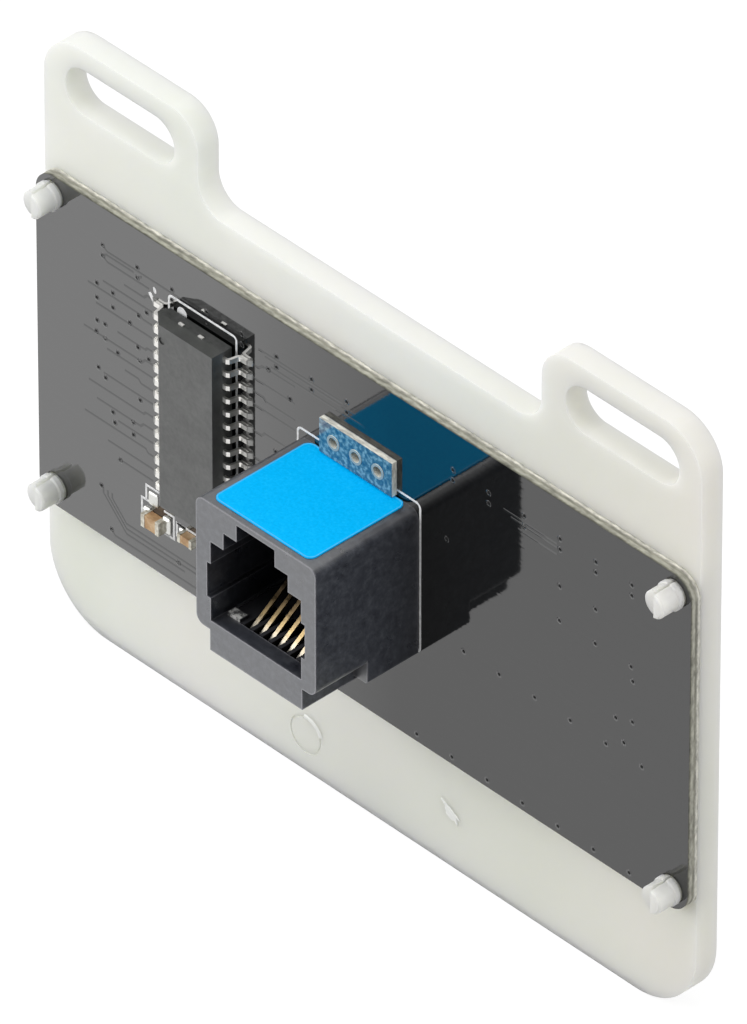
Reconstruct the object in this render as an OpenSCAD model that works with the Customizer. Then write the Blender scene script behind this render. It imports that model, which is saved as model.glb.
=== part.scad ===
// LED dot matrix module: a milky light panel with two slotted ears, snapped over the lit side of a
// small circuit board that carries a driver chip and a six-way plug socket on its other side.
//
// Millimetres. The module stands upright: +X along its length, +Z up towards the ears, and the
// lights shine towards +Y. The origin is midway between the two ear slots, on the panel's front face.
// Each piece is drawn lying on the panel's front face, with z as the distance behind that face, and
// upright() then stands it up.

/* [Light panel] */
// Width of the panel
panel_w = 72; // [70:0.5:90]
// Height of the panel, ears included
panel_h = 56; // [52:0.5:80]
// Thickness of the panel
panel_t = 2.2; // [2:0.1:4]
// Radius of the two lower corners
panel_corner_r = 6.5; // [2:0.5:9]
// Width of each ear
ear_w = 17.2; // [16:0.1:20]
// Height of the ears above the panel's top edge
ear_rise = 8; // [7:0.1:12]
// Radius of an ear's outer corner
ear_outer_r = 4; // [2:0.1:4.5]
// Radius of an ear's inner corner
ear_inner_r = 3; // [1:0.1:4]
// Radius of the fillet between an ear and the top edge
ear_root_r = 2.6; // [1:0.1:3.5]

/* [Ear slots] */
// Distance from a slot's centre to the nearer side of the panel
slot_side = 8.5; // [8:0.1:9]
// Length of a slot, end to end
slot_l = 12.2; // [8:0.1:13]
// Width of a slot
slot_w = 4.3; // [3.2:0.1:4.6]
// Distance of the slots' centre line below the ears' top
slot_drop = 4; // [3.6:0.1:5]

/* [Circuit board] */
// Distance between each end of the board and the panel's side
board_inset = 0; // [0:0.1:1]
// Height of the board
board_h = 32; // [31:0.5:34]
// Thickness of the board
board_t = 1; // [0.8:0.1:1.6]
// Radius of the board's corners
board_corner_r = 2; // [0.5:0.1:2.4]
// Distance of the board's centre below the slots' centre line
board_drop = 24.8; // [24.5:0.1:27]

/* [Corner posts] */
// Diameter of a post where it passes through the board
post_d = 2.3; // [2:0.1:2.4]
// Distance of a post's centre from the board's two nearest edges
post_inset = 1.8; // [1.7:0.1:2.2]
// Height of a post above the board
post_out = 2.3; // [1.2:0.1:2.6]
// Overhang of a post's barb all round
post_barb = 0.12; // [0.08:0.02:0.2]
// Width of the slit that splits a post into two prongs
post_slit = 0.3; // [0.2:0.05:0.5]
// Height by which one prong is shorter than the other
post_step = 0.4; // [0.1:0.1:0.8]
// Clearance between a post and its hole, all round
post_clearance = 0.1; // [0.05:0.05:0.2]

/* [Lights] */
// Number of lights in a row
light_columns = 16; // [8:1:16]
// Number of rows
light_rows = 8; // [4:1:8]
// Distance from an end of the board to the centres of the first column
light_end_margin = 6; // [5.8:0.1:6.5]
// Distance from a long edge of the board to the centres of the first row
light_edge_margin = 2; // [1.9:0.1:2.2]
// Length of a light chip
light_l = 1.6; // [1.2:0.1:2]
// Width of a light chip
light_w = 0.8; // [0.6:0.1:1.2]
// Height of a light chip
light_h = 0.6; // [0.5:0.05:0.8]
// Length of a light chip's solder end
light_end = 0.25; // [0.15:0.05:0.35]
// Side of the square well that a light chip sits in
well_side = 2.8; // [2.4:0.1:3.2]
// Depth of a well
well_depth = 1.2; // [1:0.1:1.5]

/* [Driver chip] */
// Distance of the chip's middle from the board's left end
chip_side = 18.7; // [16:0.1:20]
// Distance of the chip above the board's centre
chip_rise = 2; // [-2:0.1:3]
// Length of the chip's body
chip_l = 17.9; // [17.7:0.1:18.3]
// Width of the chip's body
chip_w = 7.2; // [6.8:0.1:7.6]
// Height of the chip's body
chip_h = 2.1; // [1.8:0.05:2.5]
// Gap between the chip's body and the board
chip_gap = 0.15; // [0.1:0.05:0.3]
// Draft of the chip's sides, in degrees
chip_draft = 12; // [5:1:15]
// Width of the bevel along the body's left edge, on the first lead's side
chip_bevel = 0.9; // [0:0.1:1.2]
// Leads along one side
lead_count = 14; // [8:1:14]
// Distance between neighbouring leads
lead_pitch = 1.27; // [1.2:0.01:1.27]
// Distance between the tips of opposite leads
lead_span = 10.3; // [10:0.1:11]
// Width of a lead
lead_w = 0.42; // [0.3:0.02:0.5]
// Thickness of a lead
lead_t = 0.24; // [0.18:0.02:0.3]
// Length of the flat foot of a lead
lead_foot = 0.8; // [0.5:0.05:1]
// Thickness of the solder under a foot
solder_t = 0.05; // [0.03:0.01:0.08]

/* [Plug socket] */
// Width of the socket
jack_w = 13.2; // [13:0.1:14]
// Height of the socket along the board
jack_h = 14.2; // [14:0.1:15]
// Distance of the socket's top above the board's centre
jack_top = 6.4; // [6.2:0.1:6.8]
// Depth of the socket, from the board to its mouth
jack_depth = 10.8; // [10.4:0.1:13]
// Radius of the socket's long edges
jack_edge_r = 0.8; // [0.3:0.1:1.2]
// Width of the lip below the mouth
lip_w = 10.2; // [10:0.1:11]
// Height of the lip below the mouth
lip_h = 2; // [1.8:0.05:2.3]
// Distance from the board over which the socket has its full-width foot
foot_depth = 5.4; // [2:0.1:8]
// Distance of the foot's underside above the lip's
foot_rise = 0.4; // [0:0.1:0.8]
// Width of the mouth for the plug's body
mouth_w = 10; // [9.8:0.1:10.4]
// Height of the mouth for the plug's body
mouth_h = 7.6; // [7.2:0.1:7.8]
// Thickness of the wall between the cavity and the board
back_wall = 2; // [1.8:0.1:2.5]
// Thickness of the wall between the mouth and the lip's outer side
lip_wall = 2.9; // [2.8:0.1:3.2]

/* [Socket contacts] */
// Number of contacts
contact_count = 6; // [2:2:6]
// Distance between neighbouring contacts
contact_pitch = 1.02; // [0.95:0.01:1.1]
// Width of a contact wire
wire_w = 0.35; // [0.3:0.05:0.5]
// Thickness of a contact wire
wire_t = 0.25; // [0.2:0.05:0.35]
// Angle between a contact's free arm and the plug's way in, in degrees
arm_angle = 35; // [30:1:40]
// Length of a contact's free arm
arm_l = 5.8; // [4:0.1:5.8]
// Distance between the two staggered rows of tails
tail_stagger = 1.27; // [1:0.01:1.4]
// Clearance between a wire and its groove, on each side
wire_clearance = 0.15; // [0.05:0.05:0.15]

/* [Trim] */
// Distance of the blue label on top of the socket from the socket's sides
label_side = 1.2; // [0.8:0.1:3]
// Distance of the label from the mouth's face
label_front = 0.6; // [0.5:0.1:2]
// Distance of the label from the board
label_back = 0.1; // [0.1:0.1:2]
// Thickness of the label
label_t = 0.1; // [0.05:0.05:0.2]
// Width of the strip with three solder holes above the socket
strip_w = 8; // [7.6:0.1:10]
// Height of the strip along the board
strip_h = 3.2; // [2.6:0.1:4]
// Thickness of the strip
strip_t = 0.55; // [0.5:0.05:1]
// Distance of the strip right of the board's centre
strip_right = 0.2; // [-1:0.1:1]
// Distance between the strip's holes
strip_pitch = 2.44; // [2.4:0.02:2.6]
// Diameter of the strip's holes
strip_hole_d = 1.1; // [0.8:0.1:1.4]

/* [Hidden] */
$fn = 48;
// Overlap of a cutting tool past the face that it cuts
cut = 0.5;

// Levels along the height of the panel, from the slots' centre line
panel_top = slot_drop - ear_rise;
panel_bottom = slot_drop - panel_h;
ear_x = panel_w / 2 - ear_w;
slot_x = panel_w / 2 - slot_side;

// Circuit board and its posts; the board's back is measured from the panel's front face
board_w = panel_w - 2 * board_inset;
board_back = panel_t + board_t;
post_x = board_w / 2 - post_inset;
post_y = board_h / 2 - post_inset;
post_hole_d = post_d + 2 * post_clearance;

// Lights, spread evenly over the board
light_pitch_x = (board_w - 2 * light_end_margin) / (light_columns - 1);
light_pitch_y = (board_h - 2 * light_edge_margin) / (light_rows - 1);
light_end_h = light_h * 0.4;

// Driver chip
chip_x = chip_side - board_w / 2;
chip_mid = chip_gap + chip_h / 2;
chip_slope = (chip_h - lead_t) / 2 * tan(chip_draft);
// A lead's straight run out of the body, and the chamfer that stands for its two bends
lead_run = 0.45;
lead_bend = 0.12;
// The cut ends of the lead frame in the body's two short sides
tie_bar_x = 1.1;
tie_bar_w = 0.5;
tie_bar_out = 0.1;

// Plug socket, from the board's centre
jack_bottom = jack_top - jack_h;
mouth_floor = jack_bottom + lip_wall;
mouth_top = mouth_floor + mouth_h;
// Its two pegs pass through the board midway between the lights
peg_d = 1.9;
peg_x = light_pitch_x;
peg_y = light_pitch_y;
peg_clearance = 0.1;

// The latch's way in above the plug's body, in two steps
latch_w = 7.1;
latch_h = 1.6;
key_w = 4.2;
key_h = 1.6;
// The shallow side grooves of the mouth
groove_w = 0.4;
groove_h = 3.3;
groove_y = mouth_floor + 2.15;
// The front wall that the plug's latch hooks behind
latch_wall = 1.3;

// Comb that holds the contacts; the tails come out midway between two rows of lights
tail_drop = light_pitch_y;
comb_clearance = 0.05;
comb_w = contact_count * contact_pitch + 3.2;
comb_h = 2;
comb_bottom = mouth_floor - comb_h;
lip_t = 1.4;
comb_l = jack_depth - lip_t - comb_clearance;
comb_foot_l = 1.2;
comb_foot_top = -tail_drop + tail_stagger / 2 + 0.5;
// Two low blocks on the comb's front corners, beside the outer wires
comb_shoulder_w = 1.4;
comb_shoulder_l = 0.9;
comb_shoulder_h = 0.25;
// Wires: their line below the comb, the round nose at its front and the bends near the board
nose_r = 0.6;
wire_y = comb_bottom + 0.35;
nose_z = comb_l - 0.35;
bend_r = 0.25;
hook_l = 0.25;
tail_level = 0.6;
tail_out = 0.35;
tail_hole_d = wire_w + 0.3;
groove_side = wire_w + 2 * wire_clearance;

// Relief in the panel for the soldered tails
relief_depth = 0.65;
relief_margin = 0.8;

// Capacitors below the chip: length, width, height and the length of one solder end
large_cap = [2, 1.25, 0.85, 0.4];
small_cap = [1.6, 0.8, 0.8, 0.3];
large_cap_x = chip_x - 5.25;
small_cap_x = chip_x - 1.4;
large_cap_drop = 10.95;
small_cap_drop = 10.45;

// Gap between the socket and the strip above it
strip_gap = 0.15;
strip_y = jack_top + label_t + strip_gap + strip_h / 2;

// Ring that an ejector pin left on the panel's back
ejector_x = -7;
ejector_rise = 3.5;
ejector_r = 1.75;
ejector_groove = 0.2;
ejector_depth = 0.12;

// ---- Frames --------------------------------------------------------------------------------------

module upright() {
    rotate([90, 0, 0]) children();
}

// Stands on the board's back, at a place measured from the board's centre
module on_board(x = 0, y = 0) {
    translate([x, y - board_drop, board_back]) children();
}

// Sits on the board's lit side and grows towards the panel's front face
module under_board(x = 0, y = 0) {
    translate([x, y - board_drop, panel_t]) mirror([0, 0, 1]) children();
}

module at_corners(x, y) {
    for (side = [-1, 1], end = [-1, 1]) translate([side * x, end * y, 0]) children();
}

// Turns a profile drawn across and up into a bar that runs along the board's height
module along_height(length) {
    rotate([90, 0, 0]) linear_extrude(length, center = true) children();
}

// Turns a profile drawn along the height and up into a bar that runs along the board's length
module along_length(length) {
    rotate([90, 0, 90]) linear_extrude(length, center = true) children();
}

// ---- Shared shapes -------------------------------------------------------------------------------

module rounded_rectangle(w, h, r) {
    square([w - 2 * r, h], center = true);
    square([w, h - 2 * r], center = true);
    at_corners(w / 2 - r, h / 2 - r) circle(r);
}

module box_on_floor(size) {
    translate([0, 0, size[2] / 2]) cube(size, center = true);
}

function direction(a, b) = (b - a) / norm(b - a);
function left_of(d) = [-d[1], d[0]];

// Offset of a path's point to its left, mitred at a bend
function mitre(path, i) =
    let (
        last = len(path) - 1,
        before = direction(path[max(i - 1, 0)], path[max(i, 1)]),
        after = direction(path[min(i, last - 1)], path[min(i + 1, last)]),
        half = direction([0, 0], left_of(before) + left_of(after))
    )
    half / (half * left_of(before));

// A strip of constant thickness along a path
module ribbon(path, t) {
    left = [for (i = [0:len(path) - 1]) path[i] + mitre(path, i) * t / 2];
    right = [for (i = [len(path) - 1:-1:0]) path[i] - mitre(path, i) * t / 2];
    polygon(concat(left, right));
}

function arc(centre, r, from, to, steps) =
    [for (i = [0:steps]) let (a = from + (to - from) * i / steps) centre + r * [cos(a), sin(a)]];

// ---- Light panel ---------------------------------------------------------------------------------

module ear_outline() {
    outer = panel_w / 2;
    translate([ear_x, panel_top - cut]) square([ear_w, ear_rise + cut - ear_outer_r]);
    translate([ear_x, panel_top]) square([ear_w - ear_outer_r, ear_rise - ear_inner_r]);
    translate([ear_x + ear_inner_r, panel_top]) square([ear_w - ear_inner_r - ear_outer_r, ear_rise]);
    translate([ear_x + ear_inner_r, slot_drop - ear_inner_r]) circle(ear_inner_r);
    translate([outer - ear_outer_r, slot_drop - ear_outer_r]) circle(ear_outer_r);
    difference() {
        translate([ear_x - ear_root_r, panel_top - cut]) square([ear_root_r + cut, ear_root_r + cut]);
        translate([ear_x - ear_root_r, panel_top + ear_root_r]) circle(ear_root_r);
    }
}

module panel_outline() {
    r = panel_corner_r;
    h = panel_top - panel_bottom;
    translate([-panel_w / 2 + r, panel_bottom]) square([panel_w - 2 * r, h]);
    translate([-panel_w / 2, panel_bottom + r]) square([panel_w, h - r]);
    for (side = [-1, 1]) translate([side * (panel_w / 2 - r), panel_bottom + r]) circle(r);
    ear_outline();
    mirror([1, 0]) ear_outline();
}

module ear_slot() {
    straight = slot_l - slot_w;
    for (end = [-1, 1]) translate([end * straight / 2, 0, -cut])
        cylinder(d = slot_w, h = panel_t + 2 * cut);
    translate([0, 0, panel_t / 2]) cube([straight, slot_w, panel_t + 2 * cut], center = true);
}

module light_grid() {
    for (column = [0:light_columns - 1], row = [0:light_rows - 1])
        translate([
            (column - (light_columns - 1) / 2) * light_pitch_x,
            (row - (light_rows - 1) / 2) * light_pitch_y,
            0
        ]) children();
}

// Split snap post: a stem through the board, a slight barb that hooks over it, and two uneven prongs
module corner_post() {
    stem = board_t + 0.05;
    barb_l = 0.4;
    rim = 0.15;
    tip = board_t + post_out;
    r = post_d / 2;
    wide = r + post_barb;
    difference() {
        rotate_extrude() polygon([
            [0, -cut], [r, -cut], [r, stem], [wide, stem + post_barb], [wide, stem + post_barb + barb_l],
            [r, stem + 2 * post_barb + barb_l], [r, tip - rim], [r - rim, tip], [0, tip]
        ]);
        translate([0, 0, (board_t + tip) / 2])
            cube([post_slit, 2 * post_d, tip - board_t + 2 * cut], center = true);
        translate([-post_d, 0, tip]) cube([2 * post_d, 2 * post_d, 2 * post_step], center = true);
    }
}

module tail_relief() {
    w = contact_count * contact_pitch + 2 * relief_margin;
    h = tail_stagger + 2 * relief_margin;
    box_on_floor([w, h, relief_depth + cut]);
}

module ejector_ring() {
    difference() {
        cylinder(r = ejector_r, h = ejector_depth + cut);
        translate([0, 0, -cut]) cylinder(r = ejector_r - ejector_groove, h = ejector_depth + 3 * cut);
    }
}

module diffuser_panel() {
    color([0.90, 0.91, 0.88]) upright() {
        difference() {
            linear_extrude(panel_t) panel_outline();
            for (side = [-1, 1]) translate([side * slot_x, 0, 0]) ear_slot();
            translate([0, -board_drop, panel_t - well_depth]) light_grid()
                box_on_floor([well_side, well_side, well_depth + cut]);
            translate([0, -board_drop - tail_drop, panel_t - relief_depth]) tail_relief();
            translate([ejector_x, panel_bottom + ejector_rise, panel_t - ejector_depth]) ejector_ring();
        }
        translate([0, -board_drop, panel_t]) at_corners(post_x, post_y) corner_post();
    }
}

// ---- Circuit board -------------------------------------------------------------------------------

function contact_x(n) = (n - (contact_count + 1) / 2) * contact_pitch;
function tail_y(n) = -tail_drop + (n % 2 == 0 ? 1 : -1) * tail_stagger / 2;

module circuit_board() {
    color([0.09, 0.10, 0.10]) upright() translate([0, -board_drop, panel_t]) difference() {
        linear_extrude(board_t) rounded_rectangle(board_w, board_h, board_corner_r);
        at_corners(post_x, post_y) translate([0, 0, -cut])
            cylinder(d = post_hole_d, h = board_t + 2 * cut);
        for (n = [1:contact_count]) translate([contact_x(n), tail_y(n), -cut])
            cylinder(d = tail_hole_d, h = board_t + 2 * cut, $fn = 24);
        for (side = [-1, 1]) translate([side * peg_x, peg_y, -cut])
            cylinder(d = peg_d + 2 * peg_clearance, h = board_t + 2 * cut);
    }
}

// ---- Lights --------------------------------------------------------------------------------------

// A chip's resin: full width on its carrier, with sloped shoulders up to the lens
module light_body() {
    draft = 0.08;
    w = light_l / 2 - light_end;
    along_height(light_w) polygon([
        [-w, 0], [w, 0], [w, light_end_h], [w - draft, light_h], [-w + draft, light_h], [-w, light_end_h]
    ]);
}

module light_row(row) {
    color([0.93, 0.93, 0.80]) upright() for (column = [1:light_columns])
        under_board(
            (column - (light_columns + 1) / 2) * light_pitch_x,
            ((light_rows + 1) / 2 - row) * light_pitch_y
        ) light_body();
}

module light_ends() {
    color([0.85, 0.80, 0.62]) upright() under_board() light_grid()
        for (side = [-1, 1]) translate([side * (light_l - light_end) / 2, 0, 0])
            box_on_floor([light_end, light_w, light_end_h]);
}

// ---- Driver chip ---------------------------------------------------------------------------------

// Side view of the moulded body, widest over the leads' thickness, as half width by height
module chip_section(half, bevel = 0) {
    low = chip_mid - lead_t / 2;
    high = chip_mid + lead_t / 2;
    top = chip_gap + chip_h;
    polygon([
        [-half, low], [-half + chip_slope, chip_gap], [half - chip_slope, chip_gap], [half, low],
        [half, high], [half - chip_slope, top], [-half + chip_slope + bevel, top], [-half, high]
    ]);
}

module driver_chip() {
    dimple_r = 0.32;
    dimple_depth = 0.1;
    dimple = [-chip_w / 2 + chip_slope + chip_bevel + dimple_r, chip_l / 2 - 5 * dimple_r];
    color([0.16, 0.16, 0.17]) upright() on_board(chip_x, chip_rise) difference() {
        intersection() {
            along_height(chip_l + 1) chip_section(chip_w / 2, chip_bevel);
            along_length(chip_w + 1) chip_section(chip_l / 2);
        }
        translate([dimple[0], dimple[1], chip_gap + chip_h - dimple_depth])
            cylinder(r = dimple_r, h = dimple_depth + cut, $fn = 24);
    }
}

// Gull wing from the body's side down to the board
module chip_lead() {
    foot_level = solder_t + lead_t / 2;
    knee = lead_span / 2 - lead_foot;
    shoulder = chip_w / 2 + lead_run;
    along_height(lead_w) ribbon([
        [chip_w / 2, chip_mid],
        [shoulder - lead_bend, chip_mid],
        [shoulder + lead_bend / 2, chip_mid - lead_bend],
        [knee - lead_bend / 2, foot_level + lead_bend],
        [knee + lead_bend, foot_level],
        [lead_span / 2, foot_level]
    ], lead_t);
}

module lead_row() {
    for (i = [0:lead_count - 1]) translate([0, (i - (lead_count - 1) / 2) * lead_pitch, 0]) children();
}

module tie_bars() {
    for (side = [-1, 1]) translate([side * tie_bar_x, (chip_l + tie_bar_out) / 2, chip_mid])
        cube([tie_bar_w, tie_bar_out, lead_t], center = true);
}

module chip_leads() {
    color([0.80, 0.80, 0.78]) upright() on_board(chip_x, chip_rise) {
        lead_row() chip_lead();
        mirror([1, 0, 0]) lead_row() chip_lead();
        tie_bars();
        mirror([0, 1, 0]) tie_bars();
    }
}

// Tinned pad under a foot, with the fillet that climbs the foot's tip
module solder_joint() {
    side = 0.05;
    inner = lead_span / 2 - lead_foot - side;
    tip = lead_span / 2;
    along_height(lead_w + 2 * side) polygon([
        [inner, 0], [tip + 0.45, 0], [tip + 0.4, solder_t], [tip + 0.1, lead_t], [tip, lead_t],
        [tip, solder_t], [inner, solder_t]
    ]);
}

module chip_solder() {
    color([0.78, 0.78, 0.76]) upright() on_board(chip_x, chip_rise) {
        lead_row() solder_joint();
        mirror([1, 0, 0]) lead_row() solder_joint();
    }
}

// ---- Plug socket ---------------------------------------------------------------------------------

module jack_outline(bottom, r) {
    h = jack_top - bottom;
    translate([0, bottom + h / 2]) rounded_rectangle(jack_w, h, r);
}

module mouth_outline() {
    translate([-mouth_w / 2, mouth_floor]) square([mouth_w, mouth_h]);
    translate([-mouth_w / 2 - groove_w, groove_y]) square([mouth_w + 2 * groove_w, groove_h]);
    translate([-latch_w / 2, mouth_top - cut]) square([latch_w, latch_h + cut]);
    translate([-key_w / 2, mouth_top + latch_h - cut]) square([key_w, key_h + cut]);
}

// The comb's long tongue and its foot; with room all round it is the pocket in the housing
module comb_block(room = 0) {
    below = room > 0 ? cut : 0;
    w = comb_w + 2 * room;
    translate([-w / 2, comb_bottom - room, -below]) {
        cube([w, mouth_floor - comb_bottom + 2 * room, comb_l + room + below]);
        cube([w, comb_foot_top - comb_bottom + 2 * room, comb_foot_l + room + below]);
    }
}

module jack_housing() {
    body_bottom = jack_bottom + lip_h;
    foot_edge_r = 0.25;
    color([0.13, 0.13, 0.14]) upright() on_board() {
        difference() {
            union() {
                linear_extrude(foot_depth) intersection() {
                    jack_outline(jack_bottom + foot_rise, foot_edge_r);
                    jack_outline(jack_bottom - jack_edge_r, jack_edge_r);
                }
                linear_extrude(jack_depth) jack_outline(body_bottom, jack_edge_r);
                translate([-lip_w / 2, jack_bottom, 0]) cube([lip_w, lip_h + jack_edge_r, jack_depth]);
            }
            translate([0, 0, back_wall]) linear_extrude(jack_depth) mouth_outline();
            // Room behind the front wall for the plug's latch to spring up
            translate([-latch_w / 2, mouth_top - cut, back_wall])
                cube([latch_w, latch_h + key_h + cut, jack_depth - latch_wall - back_wall]);
            // Pocket that the comb is pushed into from the board's side
            comb_block(comb_clearance);
        }
        for (side = [-1, 1]) translate([side * peg_x, peg_y, -board_t])
            cylinder(d = peg_d, h = board_t + cut);
    }
}

// Grooves of the comb for one wire: up its underside, over its nose and along its foot
module wire_grooves(n) {
    deep = wire_y - comb_bottom + wire_t;
    beside = wire_t / 2 + wire_clearance;
    x = contact_x(n) - groove_side / 2;
    // The arm leaves the comb's top this far behind the nose
    rise = mouth_floor + comb_shoulder_h - wire_y - nose_r;
    behind = rise / tan(arm_angle) + beside / sin(arm_angle);
    translate([x, comb_bottom - cut, -cut]) cube([groove_side, deep + cut, comb_l + 2 * cut]);
    translate([x, comb_bottom - cut, nose_z - nose_r - behind])
        cube([groove_side, mouth_floor - comb_bottom + comb_shoulder_h + 2 * cut, nose_r + behind + 1]);
    translate([x, comb_bottom - cut, -cut])
        cube([groove_side, tail_y(n) + beside - comb_bottom + cut, tail_level + beside + cut]);
}

module jack_comb() {
    color([0.12, 0.12, 0.13]) upright() on_board() difference() {
        union() {
            comb_block();
            for (side = [-1, 1]) translate([
                side * (comb_w - comb_shoulder_w) / 2,
                mouth_floor,
                comb_l - comb_shoulder_l / 2
            ]) cube([comb_shoulder_w, 2 * comb_shoulder_h, comb_shoulder_l], center = true);
        }
        for (n = [1:contact_count]) wire_grooves(n);
    }
}

// One bent wire: tail through the board, up the comb's underside, round its nose and back as an arm
module jack_contact(n) {
    y = tail_y(n);
    nose = [wire_y + nose_r, nose_z - nose_r];
    arm_start = nose + nose_r * [cos(arm_angle), sin(arm_angle)];
    arm_end = arm_start + arm_l * [sin(arm_angle), -cos(arm_angle)];
    path = concat(
        [[y, -board_t - tail_out]],
        arc([y - bend_r, tail_level - bend_r], bend_r, 0, 90, 4),
        arc([wire_y + bend_r, tail_level + bend_r], bend_r, 270, 180, 4),
        arc(nose, nose_r, 180, arm_angle, 10),
        [arm_end, arm_end + hook_l * [cos(arm_angle), -sin(arm_angle)]]
    );
    color([0.86, 0.70, 0.36]) upright() on_board() translate([contact_x(n), 0, 0])
        along_length(wire_w) ribbon(path, wire_t);
}

// Solder cone round each tail on the board's lit side
module jack_solder() {
    fillet_r = 0.42;
    rim = 0.05;
    height = tail_out - rim;
    corner = norm([wire_w, wire_t]) / 2;
    color([0.78, 0.78, 0.76]) upright() under_board() for (n = [1:contact_count])
        translate([contact_x(n), tail_y(n), 0]) difference() {
            rotate_extrude($fn = 24) polygon([
                [0, 0], [fillet_r, 0], [fillet_r, rim], [corner + rim, height], [0, height]
            ]);
            translate([0, 0, height / 2]) cube([wire_w, wire_t, height + 2 * cut], center = true);
        }
}

module jack_label() {
    w = jack_w - 2 * label_side;
    l = jack_depth - label_front - label_back;
    corner_r = 0.7;
    color([0.00, 0.62, 0.96]) upright() on_board() translate([0, jack_top + label_t, label_back + l / 2])
        rotate([90, 0, 0]) linear_extrude(label_t) rounded_rectangle(w, l, corner_r);
}

// ---- Solder strip --------------------------------------------------------------------------------

module at_strip_holes() {
    for (i = [-1:1]) translate([i * strip_pitch, 0, 0]) children();
}

module solder_strip() {
    color([0.10, 0.12, 0.14]) upright() on_board(strip_right, strip_y) difference() {
        box_on_floor([strip_w, strip_h, strip_t]);
        at_strip_holes() translate([0, 0, -cut]) cylinder(d = strip_hole_d, h = strip_t + 2 * cut);
    }
}

// Plated sleeve with a thin rim on the outer face
module eyelet() {
    wall = 0.1;
    rim_w = 0.12;
    rim_t = 0.04;
    r = strip_hole_d / 2;
    rotate_extrude() polygon([
        [r - wall, 0], [r, 0], [r, strip_t], [r + rim_w, strip_t],
        [r + rim_w, strip_t + rim_t], [r - wall, strip_t + rim_t]
    ]);
}

module strip_eyelets() {
    color([0.85, 0.80, 0.62]) upright() on_board(strip_right, strip_y) at_strip_holes() eyelet();
}

// ---- Capacitors ----------------------------------------------------------------------------------

// The ceramic is a little thinner than its two metal ends
module capacitor_body(size) {
    end_t = 0.03;
    translate([0, 0, end_t])
        box_on_floor([size[0] - 2 * size[3], size[1] - 2 * end_t, size[2] - 2 * end_t]);
}

module capacitor_ends(size) {
    for (side = [-1, 1]) translate([side * (size[0] - size[3]) / 2, 0, 0])
        box_on_floor([size[3], size[1], size[2]]);
}

module large_capacitor() {
    color([0.66, 0.48, 0.32]) upright() on_board(large_cap_x, -large_cap_drop) capacitor_body(large_cap);
}

module large_capacitor_ends() {
    color([0.80, 0.79, 0.75]) upright() on_board(large_cap_x, -large_cap_drop) capacitor_ends(large_cap);
}

module small_capacitor() {
    color([0.74, 0.58, 0.36]) upright() on_board(small_cap_x, -small_cap_drop) capacitor_body(small_cap);
}

module small_capacitor_ends() {
    color([0.80, 0.79, 0.75]) upright() on_board(small_cap_x, -small_cap_drop) capacitor_ends(small_cap);
}

diffuser_panel();
circuit_board();
for (row = [1:light_rows]) light_row(row);
light_ends();
driver_chip();
chip_leads();
chip_solder();
jack_housing();
jack_comb();
for (n = [1:contact_count]) jack_contact(n);
jack_solder();
jack_label();
solder_strip();
strip_eyelets();
large_capacitor();
large_capacitor_ends();
small_capacitor();
small_capacitor_ends();
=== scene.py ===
# %% [markdown]
# # A dot matrix light module, seen from its back
#
# The module is a milky light panel snapped over a small black circuit board. This notebook dresses the
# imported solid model. Every solid stays where it is and gets a finish. The flat and tiny things that a
# solid model leaves out are added on top: white ink, copper tracks, plated holes and moulding scars.

# %% load the solid model
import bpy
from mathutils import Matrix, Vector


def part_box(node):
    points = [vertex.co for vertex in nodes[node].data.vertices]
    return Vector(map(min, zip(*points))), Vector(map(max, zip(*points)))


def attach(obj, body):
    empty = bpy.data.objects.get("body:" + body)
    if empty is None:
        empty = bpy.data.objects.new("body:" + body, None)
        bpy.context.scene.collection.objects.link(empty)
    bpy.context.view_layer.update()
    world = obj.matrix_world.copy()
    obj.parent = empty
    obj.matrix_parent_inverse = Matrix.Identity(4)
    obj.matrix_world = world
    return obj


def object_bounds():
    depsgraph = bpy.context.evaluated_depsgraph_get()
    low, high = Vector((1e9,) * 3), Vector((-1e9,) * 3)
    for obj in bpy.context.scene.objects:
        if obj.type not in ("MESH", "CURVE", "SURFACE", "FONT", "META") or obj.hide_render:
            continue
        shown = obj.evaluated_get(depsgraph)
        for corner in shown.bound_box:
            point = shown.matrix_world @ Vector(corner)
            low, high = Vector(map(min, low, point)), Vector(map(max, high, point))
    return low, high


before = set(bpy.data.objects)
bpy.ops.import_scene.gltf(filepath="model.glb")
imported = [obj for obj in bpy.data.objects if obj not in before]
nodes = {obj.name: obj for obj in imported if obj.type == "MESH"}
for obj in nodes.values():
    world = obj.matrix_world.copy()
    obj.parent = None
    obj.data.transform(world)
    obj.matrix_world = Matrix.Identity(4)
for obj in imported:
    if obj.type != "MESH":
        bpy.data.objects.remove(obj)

cad_low, cad_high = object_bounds()
print("solid model, mm:", [round((b - a) * 1000, 1) for a, b in zip(cad_low, cad_high)])

# %% tools and units
import math
import random

import bmesh
import bpy
from mathutils import Vector

MM = 0.001
random.seed(16)

# %% [markdown]
# ## Camera
#
# A long lens from far away keeps parallel edges nearly parallel, as in a catalogue picture. An
# orthographic camera would make them exactly parallel, which looks a little flat, so a real lens was
# chosen. The camera looks down on the back of the module, from its right, at the middle of the board.

# %% camera
AZIMUTH, ELEVATION = math.radians(46.42), math.radians(37.92)
DISTANCE = 1.5
FOCAL_LENGTH = 692.5
SENSOR_WIDTH = 36
NEAREST, FARTHEST = 0.1, 20
AIM_RIGHT, AIM_UP = 1.112 * MM, 2.041 * MM

board_low, board_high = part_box("circuit_board")
board_middle = (Vector(board_low) + Vector(board_high)) / 2
board_back = board_low[1]

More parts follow.
